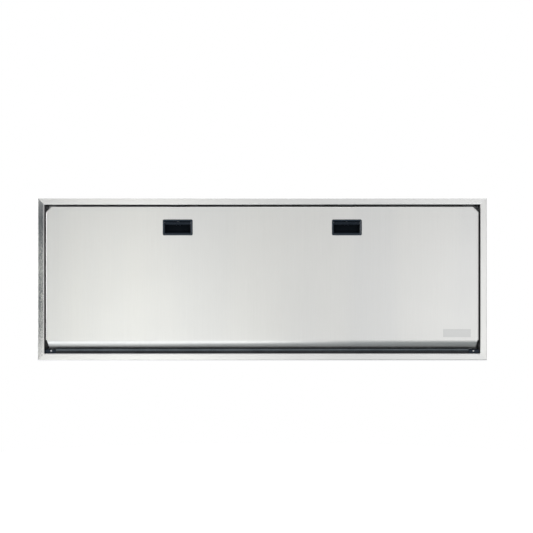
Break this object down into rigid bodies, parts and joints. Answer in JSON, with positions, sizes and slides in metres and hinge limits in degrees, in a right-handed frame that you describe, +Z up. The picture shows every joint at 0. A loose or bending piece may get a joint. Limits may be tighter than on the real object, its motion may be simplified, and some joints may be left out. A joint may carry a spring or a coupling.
{
  "type": "adult changing table",
  "caption": "Recessed wall-mounted stainless-steel changing table for adults, with a fold-down bed on a long hinge, flush paddle latches, gas struts and straps.",
  "frame": {"origin": "centre of the wall bolt holes, on the rear face of the recessed box", "axes": "+X along the bed to the viewer's right, +Y into the wall, +Z up"},
  "size_m": [1.83, 0.118, 0.66],
  "materials": {
    "brushed_steel": "brushed stainless sheet, vertical grain",
    "plain_steel": "plain zinc-plated steel",
    "black_plastic": "fine-textured black moulding",
    "liner_plastic": "light grey moulded polyethylene",
    "webbing": "woven polyester webbing",
    "rubber": "moulded rubber",
    "strut_paint": "satin black",
    "polished_rod": "polished"
  },
  "bodies": {
    "cabinet": {"bumper_posts": "rubber", "cabinet_back_panel": "brushed_steel", "cabinet_bottom_panel": "brushed_steel", "cabinet_left_wall": "brushed_steel", "cabinet_right_wall": "brushed_steel", "cabinet_top_panel": "brushed_steel", "frame_bottom_bar": "brushed_steel", "frame_left_bar": "brushed_steel", "frame_right_bar": "brushed_steel", "frame_top_bar": "brushed_steel", "hinge_fixed_leaf": "plain_steel", "hinge_fixed_screws": "plain_steel", "hinge_pin": "plain_steel", "hinge_rail": "plain_steel", "strike_plate_left": "plain_steel", "strike_plate_right": "plain_steel", "strike_screws_left": "plain_steel", "strike_screws_right": "plain_steel", "strut_anchor_left": "plain_steel", "strut_anchor_right": "plain_steel"},
    "bed": {"bed_bottom_rail": "plain_steel", "bed_hinge_tube": "plain_steel", "bed_left_rail": "plain_steel", "bed_liner": "liner_plastic", "bed_ribs": "plain_steel", "bed_right_rail": "plain_steel", "bed_top_rail": "plain_steel", "buckle_sockets": "black_plastic", "buckle_tongues": "black_plastic", "door_skin": "brushed_steel", "hinge_moving_leaf": "plain_steel", "hinge_moving_screws": "plain_steel", "latch_cup_left": "black_plastic", "latch_cup_right": "black_plastic", "strap_anchor_screws": "plain_steel", "strap_anchors": "plain_steel", "strap_left": "webbing", "strap_right": "webbing", "strut_bracket_left": "plain_steel", "strut_bracket_right": "plain_steel"},
    "left_paddle": {"latch_paddle_left": "black_plastic", "paddle_pin_left": "plain_steel"},
    "left_bolt": {"bolt_clip_left": "plain_steel", "bolt_spring_left": "plain_steel", "latch_bolt_left": "plain_steel"},
    "left_cylinder": {"strut_cylinder_left": "strut_paint"},
    "left_rod": {"strut_rod_left": "polished_rod"},
    "right_paddle": {"latch_paddle_right": "black_plastic", "paddle_pin_right": "plain_steel"},
    "right_bolt": {"bolt_clip_right": "plain_steel", "bolt_spring_right": "plain_steel", "latch_bolt_right": "plain_steel"},
    "right_cylinder": {"strut_cylinder_right": "strut_paint"},
    "right_rod": {"strut_rod_right": "polished_rod"}
  },
  "joints": [
    {"name": "bed_hinge", "type": "hinge", "parent": "cabinet", "child": "bed", "pos_m": [0, -0.102, -0.2885], "axis": [1, 0, 0], "range_deg": [0, 90]},
    {"name": "left_paddle_hinge", "type": "hinge", "parent": "bed", "child": "left_paddle", "pos_m": [-0.3445, -0.109, 0.2301], "axis": [1, 0, 0], "range_deg": [0, 18]},
    {"name": "left_bolt_slide", "type": "slide", "parent": "bed", "child": "left_bolt", "axis": [0, 0, 1], "range_m": [0, 0.0078], "deforming": ["bolt_spring_left"]},
    {"name": "left_strut_swing", "type": "hinge", "parent": "cabinet", "child": "left_cylinder", "pos_m": [-0.868, -0.031, 0.2555], "axis": [1, 0, 0], "range_deg": [-6.5, 0]},
    {"name": "left_strut_extend", "type": "slide", "parent": "left_cylinder", "child": "left_rod", "axis": [0, -0.1342, -0.991], "range_m": [0, 0.0705]},
    {"name": "right_paddle_hinge", "type": "hinge", "parent": "bed", "child": "right_paddle", "pos_m": [0.3445, -0.109, 0.2301], "axis": [1, 0, 0], "range_deg": [0, 18]},
    {"name": "right_bolt_slide", "type": "slide", "parent": "bed", "child": "right_bolt", "axis": [0, 0, 1], "range_m": [0, 0.0078], "deforming": ["bolt_spring_right"]},
    {"name": "right_strut_swing", "type": "hinge", "parent": "cabinet", "child": "right_cylinder", "pos_m": [0.868, -0.031, 0.2555], "axis": [1, 0, 0], "range_deg": [-6.5, 0]},
    {"name": "right_strut_extend", "type": "slide", "parent": "right_cylinder", "child": "right_rod", "axis": [0, -0.1342, -0.991], "range_m": [0, 0.0705]}
  ],
  "couplings": [
    {"joint": "left_bolt_slide", "follows": "left_paddle_hinge", "m_per_rad": 0.024698},
    {"joint": "left_strut_swing", "follows": "bed_hinge", "ratio": -0.070827},
    {"joint": "left_strut_extend", "follows": "bed_hinge", "m_per_rad": 0.044753},
    {"joint": "right_bolt_slide", "follows": "right_paddle_hinge", "m_per_rad": 0.024698},
    {"joint": "right_strut_swing", "follows": "bed_hinge", "ratio": -0.070827},
    {"joint": "right_strut_extend", "follows": "bed_hinge", "m_per_rad": 0.044753}
  ]
}
